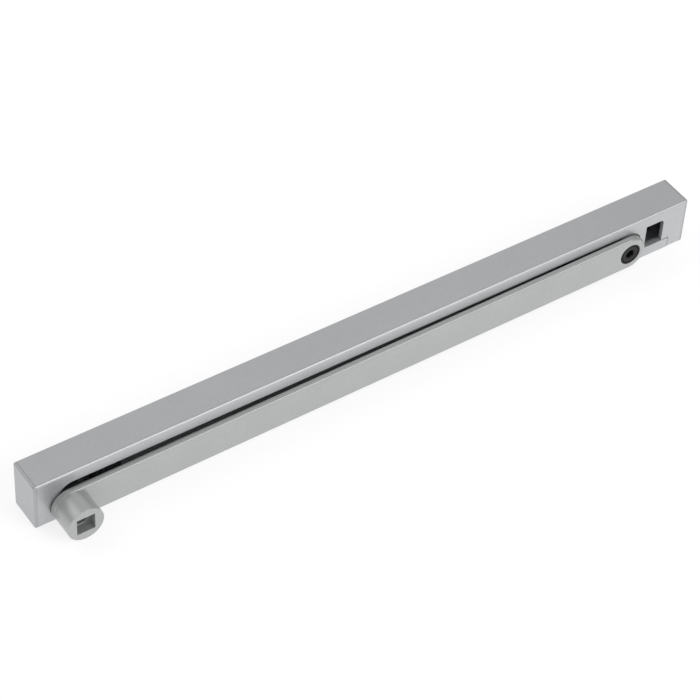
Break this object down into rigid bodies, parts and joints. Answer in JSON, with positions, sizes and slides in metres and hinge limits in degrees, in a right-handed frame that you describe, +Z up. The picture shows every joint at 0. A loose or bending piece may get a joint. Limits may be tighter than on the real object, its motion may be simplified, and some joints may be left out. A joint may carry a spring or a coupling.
{
  "type": "door closer guide rail and lever arm",
  "caption": "Slim slotted guide rail with a captive slider that carries a flat lever arm, whose round hub has a square socket for a closer spindle.",
  "frame": {"origin": "centre of the rail's mounting (back) face", "axes": "+X along the rail towards the end that the arm is pivoted at, +Y out of the mounting face, +Z up; the slotted face and the arm look along -Y"},
  "size_m": [0.44, 0.0418, 0.0324],
  "materials": {
    "silver_paint_rail": "satin silver metallic powder coat on steel",
    "silver_paint_cap": "satin silver metallic paint on die-cast caps",
    "silver_paint_arm": "satin silver metallic powder coat on steel",
    "die_cast_zinc": "dull grey zinc casting",
    "zinc_plated_steel": "bright zinc plate",
    "black_oxide_steel": "black oxide, lightly oiled",
    "acetal": "moulded black acetal",
    "rubber": "moulded rubber"
  },
  "bodies": {
    "rail": {"guide_rail": "silver_paint_rail", "keeper_plate": "silver_paint_rail", "left_end_cap": "silver_paint_cap", "right_end_cap": "silver_paint_cap", "left_fixing_block": "die_cast_zinc", "right_fixing_block": "die_cast_zinc", "stop_block": "die_cast_zinc", "stop_clamp_screw": "black_oxide_steel", "stop_buffer": "rubber"},
    "slider": {"slider_block": "die_cast_zinc", "upper_glide": "acetal", "lower_glide": "acetal", "pivot_sleeve": "zinc_plated_steel", "thrust_washer": "acetal", "pivot_screw": "black_oxide_steel", "spring_washer": "zinc_plated_steel", "lock_nut": "zinc_plated_steel"},
    "arm": {"lever_arm": "silver_paint_arm", "arm_hub": "silver_paint_arm", "arm_bearing": "acetal", "spindle_screw": "black_oxide_steel"}
  },
  "joints": [
    {"name": "slider_travel", "type": "slide", "parent": "rail", "child": "slider", "axis": [-1, 0, 0], "range_m": [0, 0.29]},
    {"name": "arm_swing", "type": "hinge", "parent": "slider", "child": "arm", "pos_m": [0.1755, -0.0255, -0.0024], "axis": [0, 1, 0], "continuous": true}
  ]
}
